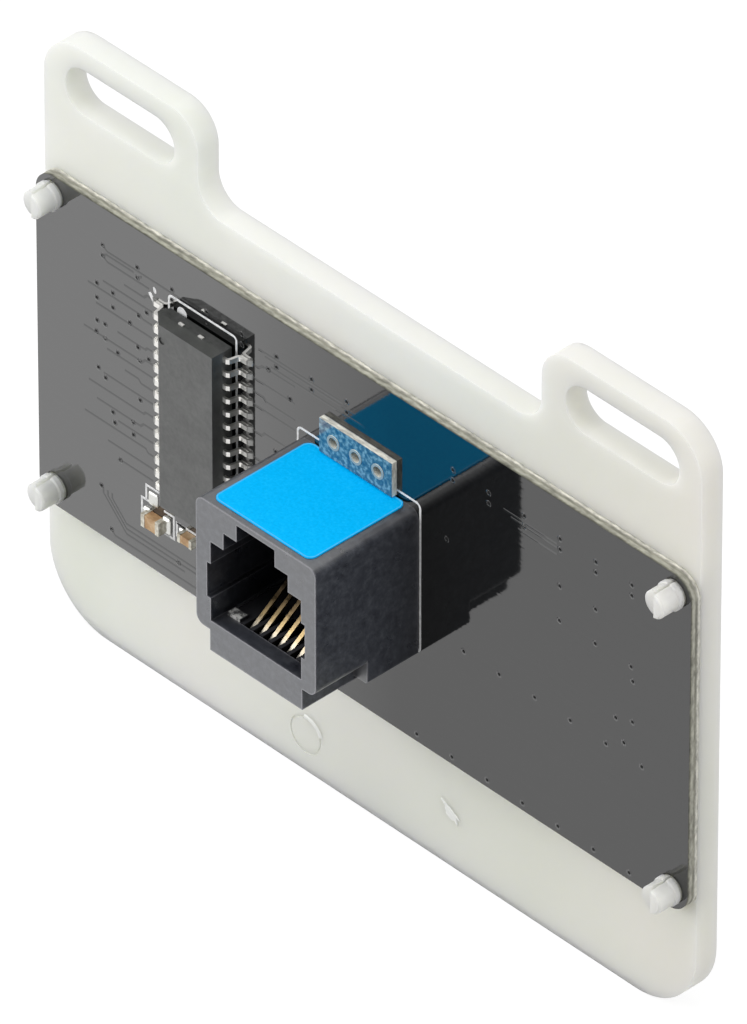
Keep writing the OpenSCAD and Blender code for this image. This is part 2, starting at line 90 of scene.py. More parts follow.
to_camera = Vector((
    math.sin(AZIMUTH) * math.cos(ELEVATION),
    -math.cos(AZIMUTH) * math.cos(ELEVATION),
    math.sin(ELEVATION),
))
camera_right = Vector((math.cos(AZIMUTH), math.sin(AZIMUTH), 0))
camera_up = to_camera.cross(camera_right)
aim = Vector((board_middle.x, board_back, board_middle.z))
aim += camera_right * AIM_RIGHT + camera_up * AIM_UP

camera = bpy.data.objects.new("camera", bpy.data.cameras.new("camera"))
bpy.context.collection.objects.link(camera)
camera.data.lens = FOCAL_LENGTH
camera.data.sensor_width = SENSOR_WIDTH
camera.data.clip_start, camera.data.clip_end = NEAREST, FARTHEST
camera.location = aim + to_camera * DISTANCE
camera.rotation_mode = "QUATERNION"
camera.rotation_quaternion = (-to_camera).to_track_quat("-Z", "Y")
bpy.context.scene.camera = camera
bpy.context.scene.view_settings.view_transform = "Standard"
print("camera stands at, mm:", [round(c / MM) for c in camera.location])

# %% [markdown]
# ## Daylight table
#
# The module stands on a white table in a white room. A room as bright as it looks could light it, but
# that would wash out the colours. So the world and the table ask what kind of ray meets them: a camera
# ray, a mirror ray and a ray through glass all find plain white. The light that falls on the object
# comes from four soft boxes and from a dimmer room, so a colour renders about as it is written. The
# table adds a little matt white to a glow, and so it still shows a soft shadow.

# %% a white world
def seen_directly(tree):
    """1 for rays from the camera, from a mirror or through glass, 0 for rays that gather light."""
    path = tree.nodes.new("ShaderNodeLightPath")
    total = path.outputs["Is Camera Ray"]
    for ray in ("Is Glossy Ray", "Is Transmission Ray"):
        larger = tree.nodes.new("ShaderNodeMath")
        larger.operation = "MAXIMUM"
        tree.links.new(total, larger.inputs[0])
        tree.links.new(path.outputs[ray], larger.inputs[1])
        total = larger.outputs[0]
    return total


ROOM_LEVEL, WHITE_LEVEL = 0.36, 1.0

world = bpy.data.worlds.new("white_room")
world.use_nodes = True
bpy.context.scene.world = world
tree = world.node_tree
backgrounds = []
for level in (ROOM_LEVEL, WHITE_LEVEL):
    background = tree.nodes.new("ShaderNodeBackground")
    background.inputs["Color"].default_value = (1, 1, 1, 1)
    background.inputs["Strength"].default_value = level
    backgrounds.append(background)
mix = tree.nodes.new("ShaderNodeMixShader")
tree.links.new(seen_directly(tree), mix.inputs[0])
for place, background in enumerate(backgrounds):
    tree.links.new(background.outputs[0], mix.inputs[place + 1])
tree.links.new(mix.outputs[0], tree.nodes["World Output"].inputs["Surface"])
print("the room lights at", ROOM_LEVEL, "and looks like", WHITE_LEVEL)

# %% the table
TABLE_HALF, TABLE_SQUARES = 3.0, 8
TABLE_GAP = 0.05 * MM

grid = bmesh.new()
bmesh.ops.create_grid(grid, x_segments=TABLE_SQUARES, y_segments=TABLE_SQUARES, size=TABLE_HALF)
mesh = bpy.data.meshes.new("table")
grid.to_mesh(mesh)
grid.free()
table = bpy.data.objects.new("table", mesh)
table.location = (0, 0, cad_low[2] - TABLE_GAP)
bpy.context.collection.objects.link(table)
print("the table lies at, mm:", round(table.location.z / MM, 2))

# %% the white of the table
TABLE_GLOW, TABLE_MATT, TABLE_BOUNCE = 0.86, 0.2, 0.35


def matt_shader(tree, level):
    """A diffuse shader of one grey."""
    matt = tree.nodes.new("ShaderNodeBsdfDiffuse")
    matt.inputs["Color"].default_value = (level, level, level, 1)
    return matt.outputs[0]


white_table = bpy.data.materials.new("white_table")
white_table.use_nodes = True
tree = white_table.node_tree
tree.nodes.clear()
output = tree.nodes.new("ShaderNodeOutputMaterial")
glow = tree.nodes.new("ShaderNodeEmission")
glow.inputs["Strength"].default_value = TABLE_GLOW
lit = tree.nodes.new("ShaderNodeAddShader")
mix = tree.nodes.new("ShaderNodeMixShader")
tree.links.new(glow.outputs[0], lit.inputs[0])
tree.links.new(matt_shader(tree, TABLE_MATT), lit.inputs[1])
tree.links.new(seen_directly(tree), mix.inputs[0])
tree.links.new(matt_shader(tree, TABLE_BOUNCE), mix.inputs[1])
tree.links.new(lit.outputs[0], mix.inputs[2])
tree.links.new(mix.outputs[0], output.inputs["Surface"])
mesh.materials.append(white_table)
print("the table glows at", TABLE_GLOW)

# %% soft boxes
def soft_box(name, azimuth, elevation, level, side=0.5, distance=0.7):
    """A square lamp that faces the board's middle, at angles in degrees. Level 1 shows white as white."""
    lamp = bpy.data.objects.new(name, bpy.data.lights.new(name, "AREA"))
    lamp.data.size = side
    lamp.data.energy = level * (math.pi * distance) ** 2
    a, e = math.radians(azimuth), math.radians(elevation)
    way = Vector((math.sin(a) * math.cos(e), -math.cos(a) * math.cos(e), math.sin(e)))
    lamp.location = board_middle + way * distance
    lamp.rotation_mode = "QUATERNION"
    lamp.rotation_quaternion = (-way).to_track_quat("-Z", "Y")
    bpy.context.collection.objects.link(lamp)
    print(name, "stands at, mm:", [round(c / MM) for c in lamp.location])


soft_box("soft_box_front_left", -38, 24, 0.72)
soft_box("soft_box_above", 10, 78, 0.38)
soft_box("soft_box_right", 95, 20, 0.42)
soft_box("soft_box_behind", 200, 22, 0.28)

# %% [markdown]
# ## Finishes
#
# Most finishes here share one recipe: a principled shader, a grain that changes its colour and
# roughness a little, and a second grain that lifts its surface by hundredths of a millimetre. Images
# could do the same, but they need unwrapping. The grain follows the object's own coordinates, so it
# needs none, and it lies still in every view.

# %% a finish and its sockets
def finish_named(name, colour, roughness, metallic=0.0, **levels):
    """A principled material. Each of levels is a shader socket, with _ for a space."""
    material = bpy.data.materials.new(name)
    material.use_nodes = True
    shader = material.node_tree.nodes["Principled BSDF"]
    shader.inputs["Base Color"].default_value = (*colour, 1)
    shader.inputs["Roughness"].default_value = roughness
    shader.inputs["Metallic"].default_value = metallic
    for socket, value in levels.items():
        shader.inputs[socket.replace("_", " ")].default_value = value
    return material


def shader_of(material):
    return material.node_tree.nodes["Principled BSDF"]


def drive(material, socket, value):
    """Lets a value set one socket of the shader."""
    material.node_tree.links.new(value, shader_of(material).inputs[socket])


def paint(material, colour):
    """Lets a socket set the colour."""
    drive(material, "Base Color", colour)

# %% place, direction and grain
def place_in(material, stretch=(1, 1, 1)):
    """The object's own coordinates in metres, stretched before a texture reads them."""
    tree = material.node_tree
    place = tree.nodes.new("ShaderNodeTexCoord")
    mapping = tree.nodes.new("ShaderNodeMapping")
    mapping.inputs["Scale"].default_value = stretch
    tree.links.new(place.outputs["Object"], mapping.inputs["Vector"])
    return mapping.outputs["Vector"]


def along(material, axis):
    """The object's own X, Y or Z, in metres."""
    split = material.node_tree.nodes.new("ShaderNodeSeparateXYZ")
    material.node_tree.links.new(place_in(material), split.inputs[0])
    return split.outputs[axis]


def facing(material, axis):
    """How far a face looks along an axis: 1 or -1 straight along it, 0 across it."""
    tree = material.node_tree
    geometry = tree.nodes.new("ShaderNodeNewGeometry")
    split = tree.nodes.new("ShaderNodeSeparateXYZ")
    tree.links.new(geometry.outputs["True Normal"], split.inputs[0])
    return split.outputs[axis]


def grain(material, scale, detail=4.0, stretch=(1, 1, 1), roughness=0.5):
    """Noise in the object's own space; scale is its number of cells in a metre."""
    tree = material.node_tree
    noise = tree.nodes.new("ShaderNodeTexNoise")
    noise.inputs["Scale"].default_value = scale
    noise.inputs["Detail"].default_value = detail
    noise.inputs["Roughness"].default_value = roughness
    tree.links.new(place_in(material, stretch), noise.inputs["Vector"])
    return noise.outputs[0]

# %% blends of values and colours
BLACK, WHITE = (0, 0, 0), (1, 1, 1)


def ramp(material, factor, *stops):
    """A colour ramp; each stop is its place and its colour."""
    tree = material.node_tree
    node = tree.nodes.new("ShaderNodeValToRGB")
    tree.links.new(factor, node.inputs[0])
    elements = node.color_ramp.elements
    while len(elements) < len(stops):
        elements.new(0.5)
    for element, (place, colour) in zip(elements, stops):
        element.position = place
        element.color = (*colour, 1)
    return node.outputs[0]


def spread(material, value, low, high, to_low=0.0, to_high=1.0):
    """Maps low..high of a value to to_low..to_high and holds it there."""
    tree = material.node_tree
    node = tree.nodes.new("ShaderNodeMapRange")
    for socket, number in (("From Min", low), ("From Max", high), ("To Min", to_low), ("To Max", to_high)):
        node.inputs[socket].default_value = number
    tree.links.new(value, node.inputs["Value"])
    return node.outputs[0]


def mixed(material, factor, first, second, mode="MIX"):
    """Blends two colours, each a socket or a plain colour. In a Mix node they are sockets 6 and 7."""
    tree = material.node_tree
    node = tree.nodes.new("ShaderNodeMix")
    node.data_type = "RGBA"
    node.blend_type = mode
    for socket, value in ((node.inputs[0], factor), (node.inputs[6], first), (node.inputs[7], second)):
        if isinstance(value, bpy.types.NodeSocket):
            tree.links.new(value, socket)
        elif isinstance(value, tuple):
            socket.default_value = (*value, 1)
        else:
            socket.default_value = value
    return node.outputs[2]


def combined(material, operation, first, second=None):
    """One step of arithmetic on values."""
    tree = material.node_tree
    node = tree.nodes.new("ShaderNodeMath")
    node.operation = operation
    tree.links.new(first, node.inputs[0])
    if second:
        tree.links.new(second, node.inputs[1])
    return node.outputs[0]

# %% roughness, bump and dressing
GRAIN_LOW, GRAIN_HIGH = 0.3, 0.7
EDGE_ANGLE = math.radians(40)


def rough_by(material, factor, low, high):
    """Roughness that runs from low to high with a grain."""
    drive(material, "Roughness", spread(material, factor, GRAIN_LOW, GRAIN_HIGH, low, high))


def lift_by(material, height, depth_mm, strength=1.0):
    """Bump of a real depth, added after any bump that is there already."""
    tree = material.node_tree
    bump = tree.nodes.new("ShaderNodeBump")
    bump.inputs["Strength"].default_value = strength
    bump.inputs["Distance"].default_value = depth_mm * MM
    tree.links.new(height, bump.inputs["Height"])
    normal = shader_of(material).inputs["Normal"]
    if normal.is_linked:
        tree.links.new(normal.links[0].from_socket, bump.inputs["Normal"])
    tree.links.new(bump.outputs["Normal"], normal)


def dress(node, material, bevel_mm=0.0, segments=2):
    """Gives a solid its finish, and softens its edges by a small bevel."""
    solid = nodes[node]
    solid.data.materials.clear()
    solid.data.materials.append(material)
    if bevel_mm:
        bevel = solid.modifiers.new("soft_edges", "BEVEL")
        bevel.width = bevel_mm * MM
        bevel.segments = segments
        bevel.limit_method = "ANGLE"
        bevel.angle_limit = EDGE_ANGLE
        bevel.harden_normals = False
    print(node, "wears", material.name)


print("solids to dress:", len(nodes))

# %% [markdown]
# ## Milky light panel
#
# The panel is moulded in a milky plastic that scatters the light of each dot. Light goes in, wanders for
# some millimetres and comes out, so edges glow and shadows are soft. A plain white shader would look
# like paint, so subsurface scattering does it here. A very faint, slow change of tint stands for the
# uneven melt, and the panel gets a little darker and warmer from left to right.

# %% milky plastic
milky_plastic = finish_named(
    "milky_plastic", (0.80, 0.81, 0.76), 0.42,
    Subsurface_Weight=0.8, Subsurface_Scale=0.004, Subsurface_Radius=(1.0, 1.0, 0.85), IOR=1.46,
)
melt = ramp(
    milky_plastic, grain(milky_plastic, 38, 2),
    (0.28, (0.745, 0.770, 0.700)), (0.46, (0.780, 0.795, 0.740)),
    (0.60, (0.800, 0.800, 0.755)), (0.78, (0.810, 0.790, 0.750)),
)
panel_low, panel_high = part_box("diffuser_panel")
from_left = spread(milky_plastic, along(milky_plastic, "X"), panel_low[0], panel_high[0])
tint = ramp(
    milky_plastic, from_left,
    (0.0, (1.0, 1.0, 0.99)), (0.5, (0.93, 0.93, 0.93)), (1.0, (0.95, 0.925, 0.91)),
)
paint(milky_plastic, mixed(milky_plastic, 1.0, melt, tint, "MULTIPLY"))
rough_by(milky_plastic, grain(milky_plastic, 500, 3), 0.34, 0.50)
lift_by(milky_plastic, grain(milky_plastic, 1400, 3), 0.006)
lift_by(milky_plastic, grain(milky_plastic, 130, 2), 0.05, 0.5)
dress("diffuser_panel", milky_plastic, 0.25, 3)

# %% [markdown]
# ## Circuit board
#
# The board is glass laminate under a glossy black lacquer. Its faces mirror the socket and the label,
# and its sawn edge shows the pale laminate in layers, darkest near the back. The solid could be split
# into faces and edges with a material each. It stays whole here, and the surface normal tells one
# material which is which. A clear coat over the black adds a mirror image that is strong on the left
# and weakens towards the right. The weave of the glass makes very fine ripples along the board.

# %% layers of the laminate, from the back
BOARD_LAYERS = (
    (0.00, (0.054, 0.054, 0.043)), (0.10, (0.176, 0.176, 0.135)), (0.24, (0.446, 0.439, 0.365)),
    (0.40, (0.486, 0.479, 0.405)), (0.56, (0.297, 0.290, 0.236)), (0.70, (0.405, 0.398, 0.338)),
    (0.82, (0.810, 0.796, 0.716)), (0.94, (0.783, 0.769, 0.675)), (1.00, (0.540, 0.527, 0.459)),
)
STRIP_LAYERS = (
    (0.00, (0.459, 0.472, 0.459)), (0.10, (0.999, 0.986, 0.891)), (0.80, (0.891, 0.878, 0.783)),
    (1.00, (0.270, 0.297, 0.324)),
)
print("layers of board and strip:", len(BOARD_LAYERS), len(STRIP_LAYERS))

# %% black lacquer and sawn laminate
LACQUER = (0.0010, 0.0012, 0.0012)
COAT_LEFT, COAT_RIGHT = 1.0, 0.34
COAT_FADES_FROM, COAT_FADES_TO = -16 * MM, 4 * MM
SAW_WOBBLE = 0.07
SAWN_ROUGHNESS, LACQUER_ROUGHNESS = 0.75, 0.05


def board_finish(name, back, thickness, layers=BOARD_LAYERS, mottle=None):
    """Lacquer on faces that look along Y, sawn laminate on all others; back is its back face's y."""
    material = finish_named(
        name, LACQUER, LACQUER_ROUGHNESS, IOR=1.5, Coat_Roughness=0.03, Coat_IOR=1.7,
    )
    stray = SAW_WOBBLE * thickness
    wobble = spread(material, grain(material, 3000, 3), 0.2, 0.8, -stray, stray)
    depth = combined(material, "ADD", along(material, "Y"), wobble)
    across = spread(material, depth, back, back + thickness)
    sawn = ramp(material, across, *layers)
    glass = spread(material, grain(material, 2200, 4, (0.5, 1.6, 0.5)), 0.32, 0.68, 0.45, 1.00)
    fibres = ramp(material, glass, (0.0, BLACK), (1.0, WHITE))
    laminate = mixed(material, 1.0, sawn, fibres, "MULTIPLY")
    # for the strip, the mottle is a painted reflection of the blue label in the lacquer
    lacquer = ramp(material, grain(material, 2600, 5), *mottle) if mottle else LACQUER
    on_face = spread(material, combined(material, "ABSOLUTE", facing(material, "Y")), 0.80, 0.93)
    paint(material, mixed(material, on_face, laminate, lacquer))
    from_left = along(material, "X")
    coat = spread(material, from_left, COAT_FADES_FROM, COAT_FADES_TO, COAT_LEFT, COAT_RIGHT)
    drive(material, "Coat Weight", combined(material, "MULTIPLY", coat, on_face))
    roughness = spread(material, on_face, 0, 1, SAWN_ROUGHNESS, LACQUER_ROUGHNESS)
    drive(material, "Roughness", roughness)
    slow_waves = grain(material, 320, 3, (0.12, 1, 2.2))
    fine_ripples = grain(material, 300, 2, (0.8, 1, 8))
    lift_by(material, slow_waves, 0.010, 0.35)
    lift_by(material, fine_ripples, 0.006, 0.9)
    return material


board_t = board_high[1] - board_low[1]
black_lacquer = board_finish("black_lacquer", board_back, board_t)
dress("circuit_board", black_lacquer, 0.06, 2)
print("board is thick, mm:", round(board_t / MM, 2))

# %% [markdown]
# ## Drawing on the board
#
# Ink, tracks and vias all lie on the board's back. An image could hold them, but thin shapes stay crisp
# from close by and are still there as meshes after an export. One frame serves them all: millimetres
# from the board's middle, x along the board and z up it. A line is a low bar with sloping flanks and
# mitred corners. Its foot is sunk a little, so that it never floats.

# %% a frame on the board
SUNK = 0.004


def on_board(x, z, lift=0.0):
    """A point on the board's back; lift is its height above the lacquer."""
    return Vector((board_middle.x + x * MM, board_back - lift * MM, board_middle.z + z * MM))


def box_on_board(node):
    """A solid's box in the board's frame: left, right, low, high, in millimetres."""
    low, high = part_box(node)
    return (
        (low[0] - board_middle.x) / MM, (high[0] - board_middle.x) / MM,
        (low[2] - board_middle.z) / MM, (high[2] - board_middle.z) / MM,
    )


chip_left, chip_right, chip_low, chip_high = box_on_board("driver_chip")
jack_left, jack_right, jack_low, jack_high = box_on_board("jack_housing")
foot_left, foot_right = box_on_board("chip_solder")[:2]
print("the chip spans, mm:", round(chip_left, 2), "to", round(chip_right, 2))
print("the socket spans, mm:", round(jack_left, 2), "to", round(jack_right, 2))

# %% raised lines
SHARPEST_MITRE = 0.3


def offset_at(path, i, closed):
    """The mitred sideways step at a point of a path, for a half width of 1."""
    count = len(path)
    here = Vector(path[i])
    ways = []
    if i or closed:
        ways.append((here - Vector(path[i - 1])).normalized())
    if i < count - 1 or closed:
        ways.append((Vector(path[(i + 1) % count]) - here).normalized())
    sides = [Vector((-way.y, way.x)) for way in ways]
    middle = sum(sides, Vector((0, 0))).normalized()
    return middle / max(middle.dot(sides[0]), SHARPEST_MITRE)


def join_rings(mesh, first, second):
    """A band of four-sided faces between two rings of points."""
    count = len(first)
    for k in range(count):
        after = (k + 1) % count
        mesh.faces.new((first[k], first[after], second[after], second[k]))


def add_line(mesh, path, width, height, closed=False, flank=0.03, place=on_board):
    """A raised line along a path of (across, up) points."""
    top = width / 2
    foot = top + flank
    profile = ((-foot, -SUNK), (-top, height), (top, height), (foot, -SUNK))
    rings = []
    for i, point in enumerate(path):
        side = offset_at(path, i, closed)
        ring = []
        for half, lift in profile:
            spot = Vector(point) + side * half
            ring.append(mesh.verts.new(place(spot.x, spot.y, lift)))
        rings.append(ring)
    pairs = list(zip(rings, rings[1:]))
    if closed:
        pairs.append((rings[-1], rings[0]))
    for first, second in pairs:
        join_rings(mesh, first, second)
    if not closed:
        mesh.faces.new(rings[0][::-1])
        mesh.faces.new(rings[-1])

# %% patches and outlines
def add_patch(mesh, outline, height, inset=0.02, place=on_board):
    """A closed flat patch with sloping sides, from the points of its outline."""
    middle = sum((Vector(point) for point in outline), Vector((0, 0))) / len(outline)
    low, high = [], []
    for point in outline:
        low.append(mesh.verts.new(place(*point, -SUNK)))
        inner = Vector(point) + (middle - Vector(point)).normalized() * inset
        high.append(mesh.verts.new(place(*inner, height)))
    join_rings(mesh, low, high)
    mesh.faces.new(high)
    mesh.faces.new(low[::-1])


def ring_points(x, z, rx, rz=None, count=24, turn=0.0):
    """Points of a circle or of a turned ellipse."""
    rz = rx if rz is None else rz
    points = []
    for k in range(count):
        a = 2 * math.pi * k / count
        u, v = rx * math.cos(a), rz * math.sin(a)
        points.append((
            x + u * math.cos(turn) - v * math.sin(turn),
            z + u * math.sin(turn) + v * math.cos(turn),
        ))
    return points


def rounded_path(left, right, low, high, radius, steps=5):
    """A rectangle's outline with rounded corners."""
    path = []
    corners = (
        (right - radius, high - radius, 0), (left + radius, high - radius, 90),
        (left + radius, low + radius, 180), (right - radius, low + radius, 270),
    )
    for x, z, start in corners:
        for k in range(steps + 1):
            a = math.radians(start + 90 * k / steps)
            path.append((x + radius * math.cos(a), z + radius * math.sin(a)))
    return path

# %% a drawn piece that rides on the part
def finished_piece(name, mesh, material, smooth=False):
    """Turns the drawn faces into a piece that rides on the part."""
    bmesh.ops.recalc_face_normals(mesh, faces=mesh.faces)
    data = bpy.data.meshes.new(name)
    mesh.to_mesh(data)
    mesh.free()
    piece = bpy.data.objects.new(name, data)
    data.materials.append(material)
    for face in data.polygons:
        face.use_smooth = smooth
    bpy.context.collection.objects.link(piece)
    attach(piece, "root")
    print(name, "has faces:", len(data.polygons))

# %% [markdown]
# ## Copper tracks and vias
#
# Under the lacquer, copper tracks make low ridges that show only as fine lines in the gloss. A via is a
# plated hole that joins both sides of the board. Its lacquer has a small raised rim and a dark pit. A
# bump in the board's finish could suggest both. Shallow geometry was chosen, since its flanks catch the
# light from every side. About half of the vias roughly follow the columns of lights on the other side,
# as pairs near the top edge and single ones further down. The others are scattered, most of them round
# the chip, and tracks fan out from its feet towards them.

# %% where the vias are
COLUMNS = 16
FIRST_VIA, VIA_PITCH = -28.5, 3.88
TOP_ROW, NEXT_ROW, UPPER_ROW, MIDDLE_ROW, LOWER_ROW, BOTTOM_ROW = 12.4, 11.4, 7.9, 4.6, -4.3, -15.3
LOWER_STEP = 1.25
FOOT_MARGIN, BODY_MARGIN, STRIP_MARGIN = 0.3, 0.4, 4.2
# two columns have no pair at the top
BARE_COLUMNS = (8, 9)
columns = [FIRST_VIA + VIA_PITCH * n for n in range(COLUMNS)]


def between(low, value, high, margin):
    """True from low to high, and up to a margin beyond them."""
    return low - margin < value < high + margin


def hidden(x, z):
    """True where the chip with its feet, or the socket with its strip, covers the board."""
    beside_chip = between(foot_left, x, foot_right, FOOT_MARGIN)
    beside_jack = between(jack_left, x, jack_right, BODY_MARGIN)
    at_chip = between(chip_low, z, chip_high, BODY_MARGIN)
    at_jack = jack_low - BODY_MARGIN < z < jack_high + STRIP_MARGIN
    return (beside_chip and at_chip) or (beside_jack and at_jack)


vias = []
for n, x in enumerate(columns):
    if n not in BARE_COLUMNS:
        vias += [(x, TOP_ROW), (x, NEXT_ROW)]
    if n in (13, 14):
        vias += [(x, UPPER_ROW)]
    if n > 12:
        vias += [(x, MIDDLE_ROW)]
    if n > 9:
        vias += [(x + LOWER_STEP, LOWER_ROW)]
    if n > 8:
        vias += [(x, BOTTOM_ROW)]
scattered = [
    (-29.2, 8.4), (-29.2, 7.0), (-27.4, 8.4), (-27.4, 7.0), (-23.6, 8.6), (-24.5, 7.8), (-25.5, 6.6),
    (-29.2, 4.8), (-28.3, 4.9), (-29.3, 3.7), (-28.3, 3.5), (-24.6, 4.7), (-24.4, 3.5), (-23.4, 4.2),
    (-26.9, 2.9), (-29.1, 0.3), (-28.3, -0.3), (-24.4, -0.3),
    (-27.5, -3.2), (-27.3, -4.1), (-25.2, -2.9), (-25.2, -4.1), (-23.2, -3.5), (-23.2, -6.0),
    (-26.7, -7.4), (-28.9, -11.1), (-27.8, -14.8), (28.1, -1.2), (29.9, -0.6), (29.0, -3.1), (29.9, 3.3),
    (-10.0, 10.7), (-7.6, 9.2), (-6.3, 8.8), (-9.2, 3.2), (-8.6, -0.9), (-9.4, -5.2), (9.6, 5.4),
    (-14.6, -11.8), (-10.9, -12.6), (-11.4, -10.2), (-20.2, -13.8), (-16.9, -14.9),
]
vias = [place for place in vias + scattered if not hidden(*place)]
print("vias:", len(vias))

# %% vias
RIM_OUTER, RIM_INNER, RIM_LIFT = 0.30, 0.13, 0.006
RIM_W, RIM_FLANK = 0.05, 0.08
PIT_R, PIT_LIFT, PIT_SLOPE = RIM_INNER + 0.01, 0.004, 0.01

rims = bmesh.new()
pits = bmesh.new()
for x, z in vias:
    middle_of_rim = ring_points(x, z, (RIM_OUTER + RIM_INNER) / 2, count=16)
    add_line(rims, middle_of_rim, RIM_W, RIM_LIFT, True, RIM_FLANK)
    add_patch(pits, ring_points(x, z, PIT_R, count=12), PIT_LIFT, PIT_SLOPE)

pit_black = finish_named("pit_black", (0.012, 0.012, 0.012), 0.7, Specular_IOR_Level=0.12)
lift_by(pit_black, grain(pit_black, 4000, 2), 0.01)
ridge_lacquer = finish_named(
    "ridge_lacquer", (0.007, 0.008, 0.008), 0.10,
    IOR=1.5, Coat_Weight=0.62, Coat_Roughness=0.06, Coat_IOR=1.6,
)
lift_by(ridge_lacquer, grain(ridge_lacquer, 900, 3), 0.004)
finished_piece("via_rims", rims, ridge_lacquer, True)
finished_piece("via_pits", pits, pit_black)

# %% where the tracks run
LEADS_A_SIDE, LEAD_PITCH = 14, 1.27
TOP_LANE, SECOND_LANE, THIRD_LANE = 12.05, 11.7, 11.05


def feet_levels():
    """Heights of the chip's feet on the board, from the first lead down."""
    middle = (chip_low + chip_high) / 2
    return [middle + ((LEADS_A_SIDE - 1) / 2 - i) * LEAD_PITCH for i in range(LEADS_A_SIDE)]


def fan(start, level, run, drop, end):
    """A track that leaves a foot, steps to another level at 45 degrees and runs on to its via."""
    way = 1 if end > start else -1
    if not drop:
        return [(start, level), (end, level)]
    bend = start + way * run
    return [(start, level), (bend, level), (bend + way * abs(drop), level + drop), (end, level + drop)]


tracks = [
    [(columns[0], TOP_ROW), (columns[0] + 0.5, TOP_LANE), (columns[3], TOP_LANE)],
    [(columns[0], NEXT_ROW), (columns[0] + 0.4, SECOND_LANE), (columns[1] - 0.4, SECOND_LANE)],
    [(columns[0], NEXT_ROW), (columns[0] + 0.5, THIRD_LANE), (foot_left - 0.4, THIRD_LANE)],
    [(columns[1], NEXT_ROW), (columns[1] + 0.5, 11.75), (foot_left - 1.2, 11.75)],
]
# from every foot on the left, and from most feet on the right
for i, level in enumerate(feet_levels()):
    run = 0.6 + 0.25 * (i % 4)
    drop = (-0.35, 0.0, 0.3, 0.0, -0.25)[i % 5]
    reach = (3.2, 5.6, 7.3, 6.4, 4.0, 7.8, 5.2)[i % 7]
    tracks.append(fan(foot_left - 0.05, level, run, drop, foot_left - reach))
    if level > jack_high + 1 or i % 2:
        tracks.append(fan(foot_right + 0.05, level, run, -drop, min(foot_right + 4.6, jack_left - 0.5)))
# along the top edge, right of the chip and right of the socket
for k, level in enumerate((TOP_LANE, SECOND_LANE, THIRD_LANE)):
    tracks.append([(foot_right + 0.6 + 0.7 * k, level), (columns[7] + k, level)])
    tracks.append([(jack_right + 9.2 + 0.8 * k, level - 0.25), (columns[13] - 0.3, level - 0.25)])
# down towards the lower edge, round the capacitors
for k in range(3):
    start, lane = -28.7 + 0.5 * k, -14.3 + 0.5 * k
    tracks.append([(start, -11.2), (start, -11.7), (start - 11.7 - lane, lane), (-19.5 + 2.4 * k, lane)])
tracks.append([(-27.8, -14.8), (-27.4, -15.2), (-17.2, -15.2)])
tracks.append([(-26.7, -7.4), (foot_left - 0.1, -7.4)])
print("tracks:", len(tracks))

# %% tracks
TRACK_W, TRACK_LIFT, TRACK_FLANK = 0.12, 0.006, 0.09

ridges = bmesh.new()
for path in tracks:
    add_line(ridges, path, TRACK_W, TRACK_LIFT, flank=TRACK_FLANK)
finished_piece("copper_tracks", ridges, ridge_lacquer)

# %% [markdown]
# ## White ink
#
# Outlines in white ink show where each component goes. The chip has a frame with a round mark at its
# first lead, the socket has a frame that just peeps out beside it, and each capacitor has a bracket at
# both ends. The ink is two hundredths of a millimetre thick and a little uneven, as screen print is. It
# could be painted into the board's finish, but a film of its own keeps its edges sharp. One helper draws
# all the outlines, so that they have one width.

# %% ink round the chip and the socket
INK_W, INK_LIFT, TICK_W = 0.17, 0.02, 0.32
SIDE_GAP, END_GAP = 0.16, 0.8
CHIP_CORNER, SOCKET_CORNER = 0.35, 0.45

white_ink = finish_named("white_ink", (0.78, 0.79, 0.80), 0.55)
paint(white_ink, ramp(
    white_ink, grain(white_ink, 2500, 4), (0.35, (0.60, 0.61, 0.62)), (0.6, (0.84, 0.84, 0.84)),
))
lift_by(white_ink, grain(white_ink, 5000, 3), 0.01)

ink = bmesh.new()


def ink_line(path, closed=False):
    """A line of the outlines' width."""
    add_line(ink, path, INK_W, INK_LIFT, closed)


chip_frame = (chip_left - SIDE_GAP, chip_right + SIDE_GAP, chip_low - END_GAP, chip_high + END_GAP)
ink_line(rounded_path(*chip_frame, CHIP_CORNER), True)
first_lead_mark = ring_points(chip_left + 1.3, chip_high - 0.2, 0.55)
blot = ring_points(foot_left + 0.25, chip_high + 0.33, 0.17, 0.30, 16, 0.35)
tick = [(foot_left - 0.35, chip_high - 0.15), (foot_left + 0.15, chip_high - 0.8)]
add_patch(ink, first_lead_mark, INK_LIFT)
add_patch(ink, blot, INK_LIFT)
add_line(ink, tick, TICK_W, INK_LIFT)
socket_frame = (jack_left - 0.15, jack_right + 0.15, jack_low + 0.6, jack_high + 0.68)
ink_line(rounded_path(*socket_frame, SOCKET_CORNER), True)
print("chip frame, mm:", [round(side, 2) for side in chip_frame])

# %% ink round the capacitors
def bracket(left, right, low, high, stub):
    """Square brackets at the two ends of a component."""
    for end, side in ((left, -1), (right, 1)):
        inner = end - side * stub
        ink_line([(inner, high), (end, high), (end, low), (inner, low)])


big_left, big_right, big_low, big_high = box_on_board("large_capacitor_ends")
small_left, small_right, small_low, small_high = box_on_board("small_capacitor_ends")
bracket(big_left - 0.75, big_right + 0.85, big_low - 0.2, big_high + 0.7, 1.1)
bracket(small_left - 0.85, small_right + 0.8, small_low - 0.35, small_high + 0.1, 1.0)
ink_line([(small_left - 0.85, small_high + 0.1), (small_right + 0.8, small_high + 0.1)])
upper_left, upper_top = big_left - 0.25, big_high + 2.15
ink_line([(upper_left + 3.0, upper_top), (upper_left, upper_top), (upper_left, upper_top - 1.4)])
finished_piece("white_print", ink, white_ink)

